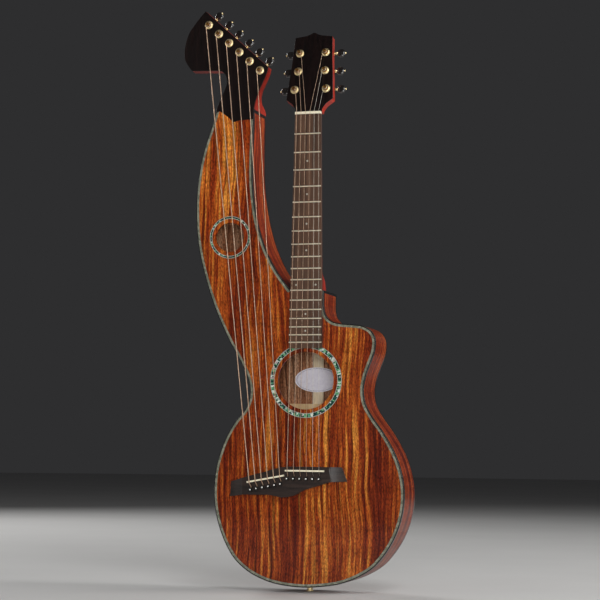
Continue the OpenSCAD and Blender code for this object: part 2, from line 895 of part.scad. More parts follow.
// Post with its gear. The string hole crosses it above the face.
module post(t) {
    difference() {
        union() {
            bar_y(post_r, -post_h, t + 7.9);
            bar_y(4.35, t + 2.2, t + 7.8);
        }
        translate([0, -6.5, 0]) bar_x(0.9, -5, 5);
        bar_y(1.4, -post_h - 1, -post_h + 1.5);
        for (i = [0:14]) {
            rotate([0, 24 * i, 0]) translate([4.5, t + 5, 0])
                cube([1.2, 8, 0.9], center = true);
        }
    }
}

// Worm, shaft, button and end cap turn as one.
module knob(t) {
    translate([0, t + 5, worm_offset]) {
        bar_x(1.5, -5.2, button_start - 1);
        for (i = [0:4]) {
            bar_x(2, -4.2 + 1.9 * i, -3.3 + 1.9 * i);
        }
        bar_x(2.2, button_start - 2.6, button_start + 3);
        button();
        bar_x(1.8, button_start + button_l - 2, button_start + button_l + 1.2);
    }
}

// Flat round button, facing the front, with both faces bevelled.
module button() {
    r = button_l / 2;
    flat = 2.4;
    bevel = 1.4;
    translate([button_start + r, 0, 0]) {
        bar_y(r, -flat, flat);
        for (side = [-1, 1]) {
            rotate([side * 90, 0, 0]) translate([0, 0, flat])
                cylinder(h = bevel, r1 = r, r2 = r - 2.5);
        }
    }
}

module tuner_knob(n) {
    color([0.1, 0.1, 0.1]) in_body() at_tuner(n) knob(head_thickness(n));
}
module tuner_post(n) {
    color("gold") in_body() at_tuner(n) post(head_thickness(n));
}

// Strap pin with a groove, set in the tail block.
module end_pin() {
    color("gold") {
        cylinder(h = 24, r = end_pin_shank_r);
        translate([0, 0, -2]) cylinder(h = 2, r = end_pin_r);
        translate([0, 0, -7]) cylinder(h = 5, r = 5);
        translate([0, 0, -9]) cylinder(h = 2, r = end_pin_r);
    }
}

soundboard();
back_plates();
back_centre_strip();
rib_bass();
rib_treble();
rib_arm_inner();
shoulder_strip();
top_binding();
top_purfling();
back_binding();
linings();
top_braces();
bridge_plate();
back_braces();
neck_block();
tail_block();
rosettes();
label();
neck();
neck_head_veneer();
fretboard();
frets();
fret_dots();
nut();
truss_rod();
truss_rod_nut();
harp_head();
harp_head_veneer();
arm_joint_strip();
bridge();
saddles();
bridge_pins();
tuner_housings();
tuner_collars();
end_pin();
strings();
tuner_knob(1);  // knob_1
tuner_knob(2);  // knob_2
tuner_knob(3);  // knob_3
tuner_knob(4);  // knob_4
tuner_knob(5);  // knob_5
tuner_knob(6);  // knob_6
tuner_knob(7);  // knob_7
tuner_knob(8);  // knob_8
tuner_knob(9);  // knob_9
tuner_knob(10);  // knob_10
tuner_knob(11);  // knob_11
tuner_knob(12);  // knob_12
tuner_post(1);  // post_1
tuner_post(2);  // post_2
tuner_post(3);  // post_3
tuner_post(4);  // post_4
tuner_post(5);  // post_5
tuner_post(6);  // post_6
tuner_post(7);  // post_7
tuner_post(8);  // post_8
tuner_post(9);  // post_9
tuner_post(10);  // post_10
tuner_post(11);  // post_11
tuner_post(12);  // post_12
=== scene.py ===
import json
import math
import random

import bmesh
import bpy
from mathutils import Matrix, Vector


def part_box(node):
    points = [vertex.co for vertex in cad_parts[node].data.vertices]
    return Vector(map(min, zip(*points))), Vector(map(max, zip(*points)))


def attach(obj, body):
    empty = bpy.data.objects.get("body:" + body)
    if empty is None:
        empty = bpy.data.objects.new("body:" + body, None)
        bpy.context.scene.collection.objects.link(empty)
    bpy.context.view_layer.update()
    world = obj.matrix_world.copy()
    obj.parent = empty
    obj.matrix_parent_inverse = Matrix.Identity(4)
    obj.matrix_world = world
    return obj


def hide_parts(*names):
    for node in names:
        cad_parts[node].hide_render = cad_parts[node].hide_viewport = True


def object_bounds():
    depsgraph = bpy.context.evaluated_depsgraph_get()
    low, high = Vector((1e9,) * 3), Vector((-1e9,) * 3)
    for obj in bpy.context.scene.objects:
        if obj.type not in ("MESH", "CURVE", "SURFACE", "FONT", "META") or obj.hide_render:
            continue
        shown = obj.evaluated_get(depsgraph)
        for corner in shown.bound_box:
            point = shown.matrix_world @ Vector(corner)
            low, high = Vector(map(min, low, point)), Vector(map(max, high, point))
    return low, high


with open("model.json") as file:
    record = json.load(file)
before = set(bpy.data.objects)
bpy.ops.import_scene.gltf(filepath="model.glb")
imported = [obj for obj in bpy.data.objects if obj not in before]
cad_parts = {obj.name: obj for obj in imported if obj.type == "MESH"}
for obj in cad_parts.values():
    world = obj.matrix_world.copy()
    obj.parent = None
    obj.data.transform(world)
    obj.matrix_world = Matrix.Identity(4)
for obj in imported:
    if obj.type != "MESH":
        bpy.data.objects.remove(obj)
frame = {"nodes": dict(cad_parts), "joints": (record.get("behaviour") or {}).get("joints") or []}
cad_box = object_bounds()
joints = {joint["name"]: joint for joint in frame["joints"]}
scene = bpy.context.scene
scene.view_settings.view_transform = "Standard"
MM = 0.001

# ------------------------------------------------------------------ camera

# The camera stands low, in front and to the right, and looks slightly up.
CAMERA_AT = Vector((0.8291, -2.9911, 0.2388))
CAMERA_TURN = math.radians(15.94)
CAMERA_RISE = math.radians(4.967)
CAMERA_ROLL = math.radians(0.727)
CAMERA_LENS, CAMERA_SENSOR = 103.92, 36


def make_camera():
    data = bpy.data.cameras.new("camera")
    data.sensor_width = CAMERA_SENSOR
    data.lens = CAMERA_LENS
    camera = bpy.data.objects.new("camera", data)
    turn = Matrix.Rotation(CAMERA_TURN, 4, "Z")
    rise = Matrix.Rotation(math.pi / 2 + CAMERA_RISE, 4, "X")
    roll = Matrix.Rotation(CAMERA_ROLL, 4, "Z")
    camera.matrix_world = Matrix.Translation(CAMERA_AT) @ turn @ rise @ roll
    scene.collection.objects.link(camera)
    scene.camera = camera


# ------------------------------------------------------------------ materials

KOA_SWAY = 0.045  # how far a streak wanders across the board, in metres
KOA_ALONG = 0.035  # how slowly the figure changes along the grain
KOA_PAINTED_LIGHT_HEIGHTS = (0.45, 0.75)  # heights over which painted light makes the wood lighter towards the top and darker below
WIRE_PITCH = 0.00034  # of the wire wound round a string
PURFLING_FLAKE, CHIP_FLAKE = 0.005, 0.0016  # sizes of the flakes of shell


def rgb(red, green, blue):
    """An sRGB colour, from 0 to 255, as linear RGBA."""
    def linear(value):
        value = value / 255
        return value / 12.92 if value <= 0.04045 else ((value + 0.055) / 1.055) ** 2.4
    return (linear(red), linear(green), linear(blue), 1)


class Shader:
    """A Principled material and short ways to add nodes to it."""

    def __init__(self, name, **values):
        self.material = bpy.data.materials.new(name)
        self.material.use_nodes = True
        self.tree = self.material.node_tree
        self.bsdf = self.tree.nodes["Principled BSDF"]
        for socket, value in values.items():
            self.bsdf.inputs[socket.replace("_", " ")].default_value = value

    def node(self, kind, *inputs, **settings):
        made = self.tree.nodes.new("ShaderNode" + kind)
        for key, value in settings.items():
            setattr(made, key, value)
        for index, value in enumerate(inputs):
            if value is None:
                continue
            if isinstance(value, bpy.types.NodeSocket):
                self.tree.links.new(value, made.inputs[index])
            else:
                made.inputs[index].default_value = value
        return made

    def math(self, operation, a, b=None):
        return self.node("Math", a, b, operation=operation).outputs[0]

    def place(self):
        return self.node("TexCoord").outputs["Object"]

    def split(self, vector):
        return self.node("SeparateXYZ", vector).outputs

    def join(self, x, y, z):
        return self.node("CombineXYZ", x, y, z).outputs[0]

    def scaled(self, vector, x, y, z):
        return self.node("VectorMath", vector, (x, y, z), operation="MULTIPLY").outputs[0]

    def noise(self, vector, scale, detail, rough=0.55, distort=0.0):
        made = self.node("TexNoise")
        self.tree.links.new(vector, made.inputs["Vector"])
        made.inputs["Scale"].default_value = scale
        made.inputs["Detail"].default_value = detail
        made.inputs["Roughness"].default_value = rough
        made.inputs["Distortion"].default_value = distort
        return made.outputs["Fac"]

    def ramp(self, fac, stops):
        made = self.node("ValToRGB", fac)
        elements = made.color_ramp.elements
        while len(elements) < len(stops):
            elements.new(0.5)
        for element, (place, colour) in zip(elements, stops):
            element.position = place
            element.color = colour
        return made.outputs["Color"]

    def steps(self, fac, low, high, out_low, out_high):
        return self.node("MapRange", fac, low, high, out_low, out_high).outputs[0]

    def colour(self, socket):
        self.tree.links.new(socket, self.bsdf.inputs["Base Color"])

    def shaded(self, base, shade):
        """Colours the surface with base, made darker or lighter by shade."""
        made = self.node("Mix", data_type="RGBA", blend_type="MULTIPLY")
        made.inputs[0].default_value = 1.0
        self.tree.links.new(base, made.inputs[6])
        grey = self.node("CombineColor", shade, shade, shade).outputs[0]
        self.tree.links.new(grey, made.inputs[7])
        self.colour(made.outputs[2])

    def roughness(self, socket):
        self.tree.links.new(socket, self.bsdf.inputs["Roughness"])

    def bump(self, height, distance, strength):
        made = self.node("Bump")
        made.inputs["Strength"].default_value = strength
        made.inputs["Distance"].default_value = distance
        self.tree.links.new(height, made.inputs["Height"])
        self.tree.links.new(made.outputs[0], self.bsdf.inputs["Normal"])


def koa(name, dark, middle, light, bright, across="x", seam=None, seed=0.0, coat=0.35):
    """Koa with streaks along Z. They change quickly along the axis across, and
    a seam mirrors them about that x."""
    s = Shader(name, Coat_Weight=coat, Coat_Roughness=0.05, Specular_IOR_Level=0.1)
    place = s.place()
    x, y, z = s.split(place)
    if seam is not None:
        x = s.math("ABSOLUTE", s.math("SUBTRACT", x, seam))
    slowly = s.join(s.math("MULTIPLY", x, 5.0), y, s.math("MULTIPLY", z, 3.5))
    wander = s.noise(slowly, 1.0, 2.0)
    shift = s.math("MULTIPLY", s.math("SUBTRACT", wander, 0.5), KOA_SWAY)
    slow_z = s.math("MULTIPLY", z, KOA_ALONG)
    if across == "x":
        quick = s.math("ADD", s.math("ADD", x, shift), seed)
        grain = s.join(quick, s.math("MULTIPLY", y, 0.25), slow_z)
    else:
        quick = s.math("ADD", s.math("ADD", y, shift), seed)
        grain = s.join(s.math("MULTIPLY", x, 0.05), quick, slow_z)
    broad = s.noise(grain, 36.0, 2.0, 0.5)
    streaks = s.noise(grain, 170.0, 4.0, 0.65)
    fine = s.noise(grain, 640.0, 3.0, 0.7)
    tone = s.math("ADD", s.math("MULTIPLY", broad, 0.34), s.math("MULTIPLY", streaks, 0.66))
    # Painted light: the tone shifts lighter and oranger towards the top, as if lit from above.
    tone = s.math("ADD", tone, s.steps(z, *KOA_PAINTED_LIGHT_HEIGHTS, -0.012, 0.02))
    base = s.ramp(tone, ((0.38, dark), (0.48, middle), (0.545, light), (0.62, bright)))
    shade = s.steps(fine, 0.32, 0.68, 0.7, 1.28)
    lines = s.steps(s.noise(grain, 150.0, 1.0, 0.4), 0.60, 0.68, 1.0, 0.5)
    flecks = s.noise(s.scaled(place, 640.0, 640.0, 200.0), 1.0, 2.0, 0.6)
    curl = s.noise(s.scaled(place, 12.0, 12.0, 70.0), 1.0, 2.0)
    # The height factor is painted light: darker at the lower bout, lighter towards the top.
    for factor in (lines, s.steps(z, *KOA_PAINTED_LIGHT_HEIGHTS, 0.86, 1.1),
                   s.steps(flecks, 0.36, 0.62, 0.5, 1.34),
                   s.steps(curl, 0.3, 0.7, 0.88, 1.12)):
        shade = s.math("MULTIPLY", shade, factor)
    s.shaded(base, shade)
    s.roughness(s.steps(curl, 0.3, 0.7, 0.34, 0.48))
    s.bump(s.math("ADD", fine, s.math("MULTIPLY", flecks, 0.6)), 0.00003, 0.35)
    return s.material


def plain_wood(name, light, dark, stretch=(60.0, 60.0, 3.0), coat=0.0, rough=0.5,
               coat_rough=0.05):
    """Straight-grained wood, with grain along the axis with the small factor."""
    s = Shader(name, Coat_Weight=coat, Coat_Roughness=coat_rough, Specular_IOR_Level=0.2)
    grain = s.scaled(s.place(), *stretch)
    wide = s.noise(grain, 1.0, 3.0, 0.6, 0.3)
    fine = s.noise(grain, 9.0, 3.0, 0.65)
    tone = s.math("ADD", s.math("MULTIPLY", wide, 0.6), s.math("MULTIPLY", fine, 0.4))
    base = s.ramp(tone, ((0.36, dark), (0.62, light)))
    holes = s.noise(grain, 26.0, 0.0)
    shade = s.steps(holes, 0.27, 0.38, 0.8, 1.0)
    s.shaded(base, shade)
    s.roughness(s.steps(fine, 0.3, 0.7, rough - 0.08, rough + 0.08))
    s.bump(s.math("ADD", fine, holes), 0.00005, 0.5)
    return s.material


def metal(name, colour, dull, rough):
    """Plated metal: the colour clouds towards dull, with faint polishing marks."""
    s = Shader(name, Metallic=1.0)
    clouds = s.noise(s.place(), 320.0, 3.0)
    s.colour(s.ramp(clouds, ((0.3, dull), (0.7, colour))))
    marks = s.noise(s.place(), 1900.0, 3.0, 0.7)
    s.roughness(s.steps(marks, 0.3, 0.7, rough * 0.86, rough * 1.35))
    s.bump(marks, 0.00001, 0.4)
    return s.material


def gloss(name, colour, speck, rough, coat, grain=900.0):
    """Smooth plastic, bone, shell, paper or lacquer with a faint mottle."""
    s = Shader(name, Coat_Weight=coat, Coat_Roughness=0.06)
    mottle = s.noise(s.place(), grain, 4.0, 0.6)
    s.colour(s.ramp(mottle, ((0.35, speck), (0.65, colour))))
    s.roughness(s.steps(mottle, 0.3, 0.7, rough * 0.8, rough * 1.2))
    s.bump(mottle, 0.00001, 0.5)
    return s.material


def abalone(name, cell, tones, coat=0.5):
    """Shell in flakes of about one cell, each with its own tone, and waves."""
    s = Shader(name, Coat_Weight=coat, Coat_Roughness=0.04)
    cells = s.node("TexVoronoi", feature="F1")
    cells.inputs["Scale"].default_value = 1.0 / cell
    s.tree.links.new(s.place(), cells.inputs["Vector"])
    flake = s.split(cells.outputs["Color"])[0]
    waves = s.noise(s.place(), 420.0, 3.0, 0.6, 1.4)
    tone = s.math("ADD", s.math("MULTIPLY", flake, 0.55), s.math("MULTIPLY", waves, 0.55))
    s.colour(s.ramp(tone, tuple(zip((0.28, 0.48, 0.66, 0.84), tones))))
    s.roughness(s.steps(waves, 0.3, 0.7, 0.1, 0.24))
    s.bump(waves, 0.00003, 0.4)
    return s.material


def wound(name, colour, dull):
    """Wire wound round a string that runs roughly along Z."""
    s = Shader(name, Metallic=1.0)
    z = s.split(s.place())[2]
    turns = s.math("SINE", s.math("MULTIPLY", z, 2 * math.pi / WIRE_PITCH))
    clouds = s.noise(s.place(), 240.0, 2.0)
    s.colour(s.ramp(clouds, ((0.3, dull), (0.7, colour))))
    s.roughness(s.steps(turns, -1.0, 1.0, 0.5, 0.38))
    s.bump(turns, 0.00005, 0.6)
    return s.material


TOP_TONES = (rgb(82, 19, 4), rgb(127, 45, 12), rgb(170, 81, 24), rgb(210, 136, 54))
SIDE_TONES = (rgb(80, 18, 5), rgb(120, 36, 12), rgb(152, 58, 22), rgb(178, 88, 38))
BARE_TONES = (rgb(120, 72, 48), rgb(156, 102, 72), rgb(184, 132, 98), rgb(198, 150, 118))
MATERIALS = {}


def add_material(kind, name, *values, **more):
    MATERIALS[name] = kind(name, *values, **more)


add_material(koa, "koa_top", *TOP_TONES)
add_material(koa, "koa_sides", *SIDE_TONES, across="y", coat=0.2)
add_material(koa, "koa_back", *TOP_TONES, seam=0.0, seed=0.7)
add_material(koa, "koa_bare", *BARE_TONES, seam=0.0, seed=0.7, coat=0.0)
add_material(plain_wood, "pale_wood", rgb(244, 226, 196), rgb(220, 196, 158))
add_material(plain_wood, "brace_wood", rgb(222, 192, 148), rgb(190, 154, 108))
add_material(plain_wood, "mahogany", rgb(184, 50, 30), rgb(120, 26, 16), coat=0.3, rough=0.4)
add_material(plain_wood, "rosewood", rgb(98, 70, 53), rgb(46, 31, 23), (170.0, 60.0, 4.0))
add_material(plain_wood, "rosewood_bridge", rgb(50, 36, 30), rgb(20, 13, 10),
             (4.0, 90.0, 120.0), coat=0.22, rough=0.42, coat_rough=0.34)
add_material(plain_wood, "head_veneer", rgb(22, 10, 8), rgb(5, 3, 3), (150.0, 60.0, 5.0),
             coat=0.35, rough=0.35)
add_material(gloss, "black_trim", rgb(14, 14, 15), rgb(7, 7, 8), 0.3, 0.3)
add_material(gloss, "pale_line", rgb(184, 182, 170), rgb(156, 152, 140), 0.4, 0.4)
add_material(abalone, "purfling", PURFLING_FLAKE,
             (rgb(98, 101, 86), rgb(112, 114, 98), rgb(126, 126, 108), rgb(142, 141, 124)),
             coat=0.1)
add_material(abalone, "shell_dark", CHIP_FLAKE,
             (rgb(16, 30, 30), rgb(26, 58, 52), rgb(44, 92, 74), rgb(30, 62, 74)))
add_material(abalone, "shell_green", CHIP_FLAKE,
             (rgb(38, 92, 66), rgb(88, 152, 104), rgb(136, 190, 142), rgb(60, 120, 118)))
add_material(abalone, "shell_silver", CHIP_FLAKE,
             (rgb(150, 176, 160), rgb(206, 220, 204), rgb(236, 240, 226), rgb(176, 196, 200)))
add_material(abalone, "shell_rose", CHIP_FLAKE,
             (rgb(120, 130, 128), rgb(176, 160, 164), rgb(206, 192, 186), rgb(110, 150, 134)))
add_material(gloss, "bone", rgb(244, 236, 212), rgb(226, 214, 184), 0.35, 0.3, 500.0)
add_material(metal, "fret_wire", rgb(255, 250, 232), rgb(246, 236, 206), 0.42)
add_material(metal, "gold", rgb(255, 238, 192), rgb(242, 212, 150), 0.34)
# A darker gold for the posts than for the collars.
add_material(metal, "old_gold", rgb(168, 124, 66), rgb(112, 76, 36), 0.42)
add_material(gloss, "pearl", rgb(240, 238, 230), rgb(214, 216, 210), 0.25, 0.5)
add_material(metal, "steel", rgb(200, 200, 204), rgb(160, 160, 166), 0.35)
add_material(gloss, "black_plastic", rgb(34, 31, 29), rgb(20, 18, 17), 0.22, 0.8)
add_material(gloss, "paper_label", rgb(246, 242, 250), rgb(234, 228, 240), 0.8, 0.0, 260.0)
add_material(gloss, "label_ink", rgb(150, 140, 160), rgb(126, 116, 136), 0.8, 0.0, 260.0)
add_material(wound, "bronze", rgb(212, 184, 160), rgb(178, 148, 122))
add_material(metal, "plain_steel", rgb(222, 216, 204), rgb(190, 184, 172), 0.4)
SHELLS = ("shell_dark", "shell_green", "shell_silver", "shell_rose")

# ------------------------------------------------------------------ mesh tools

SHARP = 32  # degrees from which an edge stays sharp
SAME_PLANE = 0.4  # degrees up to which faces of a CAD node are joined
WELD = 3e-6  # metres within which its corners are one
ALONG_Y = 0.9995  # from here on a face looks along Y, and is shaded flat


def add_piece(name, bm, material, body="root", replaces=(), angle=SHARP):
    bmesh.ops.recalc_face_normals(bm, faces=bm.faces)
    mesh = bpy.data.meshes.new(name)
    bm.to_mesh(mesh)
    bm.free()
    mesh.polygons.foreach_set("use_smooth", [True] * len(mesh.polygons))
    mesh.set_sharp_from_angle(angle=math.radians(angle))
    mesh.materials.append(MATERIALS[material])
    made = bpy.data.objects.new(name, mesh)
    scene.collection.objects.link(made)
    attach(made, body)
    if replaces:
        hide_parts(*replaces)
    return made


def node_mesh(node):
    """A CAD node's mesh with its corners welded."""
    bm = bmesh.new()
    bm.from_mesh(frame["nodes"][node].data)
    bmesh.ops.remove_doubles(bm, verts=bm.verts, dist=WELD)
    return bm


def remade(node, material, edge):
    """A CAD node's own shape as one clean shell with its edges eased by edge."""
    bm = node_mesh(node)
    bmesh.ops.dissolve_limit(bm, angle_limit=math.radians(SAME_PLANE), verts=bm.verts,
                             edges=bm.edges)
    made = add_piece(node + "_piece", bm, material, replaces=(node,))
    for face in made.data.polygons:
        if abs(face.normal.y) > ALONG_Y:
            face.use_smooth = False
    if edge:
        ease = made.modifiers.new("edges", "BEVEL")
        ease.width = edge
        ease.segments = 2
        ease.limit_method = "ANGLE"
        ease.angle_limit = math.radians(SHARP)
        ease.harden_normals = True


def in_mm(*pairs):
    return [(radius * MM, height * MM) for radius, height in pairs]


def add_turned(bm, profile, matrix, steps):
    """Turns (radius, height) pairs, in metres, round the matrix's Y axis."""
    rings = []
    for radius, height in profile:
        if radius <= 0:
            rings.append([bm.verts.new(matrix @ Vector((0, height, 0)))])
            continue
        rings.append([bm.verts.new(matrix @ Vector((
            radius * math.cos(2 * math.pi * k / steps), height,
            radius * math.sin(2 * math.pi * k / steps)))) for k in range(steps)])
    for low, high in zip(rings, rings[1:]):
        for k in range(steps):
            corners = [low[k % len(low)], low[(k + 1) % len(low)],
                       high[(k + 1) % len(high)], high[k % len(high)]]
            bm.faces.new(list(dict.fromkeys(corners)))


def add_block(bm, low, high, matrix, round_by=0.0, segments=3):
    """A box between two local corners, with rounded edges."""
    part = bmesh.new()
    bmesh.ops.create_cube(part, size=1.0)
    middle = [(a + b) / 2 for a, b in zip(low, high)]
    size = [abs(b - a) for a, b in zip(low, high)]
    for vert in part.verts:
        vert.co = Vector([m + c * s for m, c, s in zip(middle, vert.co, size)])
    if round_by:
        bmesh.ops.bevel(part, geom=part.edges, offset=round_by, segments=segments,
                        profile=0.5, affect="EDGES")
    merge(bm, part, matrix)


def merge(bm, part, matrix):
    """Adds part, placed by the matrix, to bm."""
    part.transform(matrix)
    mesh = bpy.data.meshes.new("part")
    part.to_mesh(mesh)
    part.free()
    bm.from_mesh(mesh)
    bpy.data.meshes.remove(mesh)


def add_tube(bm, points, radius, sides=12):
    """A round tube with closed ends through the points."""
    rings = []
    side = None
    for i, point in enumerate(points):
        along = (points[min(i + 1, len(points) - 1)] - points[max(i - 1, 0)]).normalized()
        if side is None:
            side = along.orthogonal().normalized()
        side = (side - along * side.dot(along)).normalized()
        up = along.cross(side)
        rings.append([bm.verts.new(point + radius * (
            math.cos(2 * math.pi * k / sides) * side + math.sin(2 * math.pi * k / sides) * up))
            for k in range(sides)])
    for low, high in zip(rings, rings[1:]):
        for k in range(sides):
            bm.faces.new((low[k], low[(k + 1) % sides], high[(k + 1) % sides], high[k]))
    bm.faces.new(rings[0][::-1])
    bm.faces.new(rings[-1])


make_camera()

# ------------------------------------------------------------------ body and neck

# Nodes that keep their CAD shape: material, slot, and the size of the eased edge.
PLAIN_NODES = {
    "soundboard": ("koa_top", "koa_top", 0.0),
    "back_plates": ("koa_back", "koa_sides", 0.0),
    "back_centre_strip": ("pale_wood", "pale_wood", 0.0004),
    "rib_bass": ("koa_sides", "koa_sides", 0.0),
    "rib_treble": ("koa_sides", "koa_sides", 0.0),
    "rib_arm_inner": ("koa_sides", "koa_sides", 0.0),
    "shoulder_strip": ("black_trim", "black_trim", 0.0),
    "top_binding": ("black_trim", "black_trim", 0.0006),
    "top_purfling": ("purfling", "shell", 0.0),
    "back_binding": ("black_trim", "black_trim", 0.0006),
    "linings": ("brace_wood", "brace_wood", 0.0),
    "top_braces": ("brace_wood", "brace_wood", 0.0012),
    "bridge_plate": ("pale_wood", "pale_wood", 0.0),
    "back_braces": ("brace_wood", "brace_wood", 0.0012),
    "neck_block": ("brace_wood", "brace_wood", 0.0008),
    "tail_block": ("brace_wood", "brace_wood", 0.0008),
    "neck": ("mahogany", "mahogany", 0.0),
    "neck_head_veneer": ("head_veneer", "head_veneer", 0.0003),
    "fretboard": ("rosewood", "rosewood", 0.0004),
    "frets": ("fret_wire", "fret_wire", 0.0),
    "fret_dots": ("pale_line", "bone", 0.0),
    "truss_rod": ("steel", "steel", 0.0),
    "harp_head": ("mahogany", "mahogany", 0.0),
    "harp_head_veneer": ("head_veneer", "head_veneer", 0.0003),
    "arm_joint_strip": ("black_trim", "black_trim", 0.0),
    "bridge": ("rosewood_bridge", "rosewood_bridge", 0.0008),
    "saddles": ("bone", "bone", 0.0005),
    "end_pin": ("gold", "gold", 0.0004),
}
for node, (material, slot_name, edge) in PLAIN_NODES.items():
    remade(node, material, edge)


def paint_front(made, material):
    """Gives the faces of a piece that look to the front another material."""
    made.data.materials.append(MATERIALS[material])
    for face in made.data.polygons:
        if face.normal.y < -0.7:
            face.material_index = 1


def solid_boxes(node):
    """(low, high) corners of each separate solid of a CAD node, from left to right."""
    bm = node_mesh(node)
    left, boxes = set(bm.verts), []
    while left:
        queue, low, high = [left.pop()], None, None
        while queue:
            vert = queue.pop()
            low = vert.co.copy() if low is None else Vector(map(min, low, vert.co))
            high = vert.co.copy() if high is None else Vector(map(max, high, vert.co))
            for edge in vert.link_edges:
                other = edge.other_vert(vert)
                if other in left:
                    left.remove(other)
                    queue.append(other)
        boxes.append((low, high))
    bm.free()
    return sorted(boxes, key=lambda box: tuple(box[0]))


def centre(box):
    return (box[0] + box[1]) / 2


paint_front(bpy.data.objects["back_plates_piece"], "koa_bare")
FACE_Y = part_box("soundboard")[0].y

# ------------------------------------------------------------------ rosettes

ROSETTE_WIDTHS = {"main": 8.5 * MM, "arm": 5.0 * MM}
ROSETTE_SHARES = {"main": (6, 4, 2, 1), "arm": (8, 2, 1, 0)}  # of the four shells
RING_EDGE, RING_LINE = 0.25 * MM, 0.85 * MM
RING_SIDE = RING_EDGE + RING_LINE + 0.15 * MM
EDGE_DEPTH, INLAY_DEPTH, GROUND_DROP = 0.1 * MM, 0.11 * MM, 0.12 * MM
CHIP_LENGTHS, CHIP_LEAN = (1.4, 3.6), 0.5  # in millimetres
CHIP_GAP, LEAST_CHIP = 0.12 * MM, 0.2 * MM
FULL_TURN = 2 * math.pi
LAST_BIT = 0.02  # radians too short for a chip of their own
RING_STEPS, CHIP_STEPS = 128, 360  # in a full turn


def add_band(bm, corners, closed):
    """Faces round a band whose four edges run through the corners."""
    for a, b in zip(corners, corners[1:] + (corners[:1] if closed else [])):
        for i, j in ((0, 1), (1, 3), (3, 2), (2, 0)):
            bm.faces.new((a[i], a[j], b[j], b[i]))


def band_corners(bm, middle, inner, outer, top, depth, turn, slant=0.0):
    """Four corners of a flat band at one turn; its outer side leans by slant."""
    return [bm.verts.new(middle + Vector((
        radius * math.cos(turn + lean), y, radius * math.sin(turn + lean))))
        for radius, lean in ((inner, 0.0), (outer, slant)) for y in (top, top + depth)]


def add_ring(bm, middle, inner, outer, top, depth):
    """A flat ring below top (a y)."""
    add_band(bm, [band_corners(bm, middle, inner, outer, top, depth, FULL_TURN * k / RING_STEPS)
                  for k in range(RING_STEPS)], True)


def add_chip(bm, middle, inner, outer, start, end, slants):
    """A chip of shell from start to end, whose two ends may slant."""
    count = max(2, round(CHIP_STEPS * (end - start) / FULL_TURN))
    corners = []
    for k in range(count + 1):
        slant = slants[0] + (slants[1] - slants[0]) * k / count
        corners.append(band_corners(bm, middle, inner, outer, FACE_Y, INLAY_DEPTH,
                                    start + (end - start) * k / count, slant))
    bm.faces.new([corners[0][i] for i in (0, 1, 3, 2)])
    bm.faces.new([corners[-1][i] for i in (2, 3, 1, 0)])
    add_band(bm, corners, False)


def add_mosaic(chips, shares, middle, inner, outer):
    """Chips of random length and slant all the way round, most of them split
    in two, each in the mesh of its own shell."""
    low, high, gap = inner + RING_SIDE, outer - RING_SIDE, CHIP_GAP / outer
    turn, lean = 0.0, 0.0
    while turn < FULL_TURN - LAST_BIT:
        step = min(random.uniform(*CHIP_LENGTHS) * MM / outer, FULL_TURN - turn)
        last = turn + step > FULL_TURN - LAST_BIT
        next_lean = 0.0 if last else random.uniform(-CHIP_LEAN, CHIP_LEAN) * MM / outer
        split = random.uniform(0.3, 0.7) if random.random() < 0.6 else 1.0
        cut = low + split * (high - low)
        for r0, r1, lean0, lean1 in (
                (low, cut, 0.0, split), (cut + 0.1 * MM, high, split, 1.0)):
            if r1 - r0 < LEAST_CHIP:
                continue
            bm = random.choices(chips, shares)[0]
            add_chip(bm, middle, r0, r1, turn + gap + lean * lean0,
                     turn + step + next_lean * lean0,
                     (lean * (lean1 - lean0), next_lean * (lean1 - lean0)))
        turn += step
        lean = next_lean


def make_rosettes():
    """A black ground, two pale lines and a mosaic of shell round each sound hole."""
    random.seed(4)
    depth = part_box("rosettes")[1].y - FACE_Y
    boxes = sorted(solid_boxes("rosettes"), key=lambda box: box[0].z)
    for name, box in zip(("main", "arm"), boxes):
        middle = centre(box)
        middle.y = 0
        outer = (box[1].x - box[0].x) / 2
        inner = outer - ROSETTE_WIDTHS[name]
        black = bmesh.new()
        add_ring(black, middle, inner, outer, FACE_Y + GROUND_DROP, depth - GROUND_DROP)
        for radius in (inner, outer - RING_EDGE):
            add_ring(black, middle, radius, radius + RING_EDGE, FACE_Y, EDGE_DEPTH)
        add_piece(f"rosette_{name}_ground", black, "black_trim",
                  replaces=("rosettes",))
        pale = bmesh.new()
        for radius in (inner + RING_EDGE, outer - RING_EDGE - RING_LINE):
            add_ring(pale, middle, radius, radius + RING_LINE, FACE_Y, INLAY_DEPTH)
        add_piece(f"rosette_{name}_lines", pale, "pale_line")
        chips = [bmesh.new() for _ in SHELLS]
        add_mosaic(chips, ROSETTE_SHARES[name], middle, inner, outer)
        for bm, material in zip(chips, SHELLS):
            if len(bm.faces):
                add_piece(f"rosette_{name}_{material}", bm, material)


make_rosettes()

# ------------------------------------------------------------------ label

LABEL_STEPS = 72
BORDER_LIFT, BORDER_DEPTH = 0.03 * MM, 0.02 * MM
BORDER_LINES = ((0.93, 0.91), (0.88, 0.873))  # as shares of the label's size


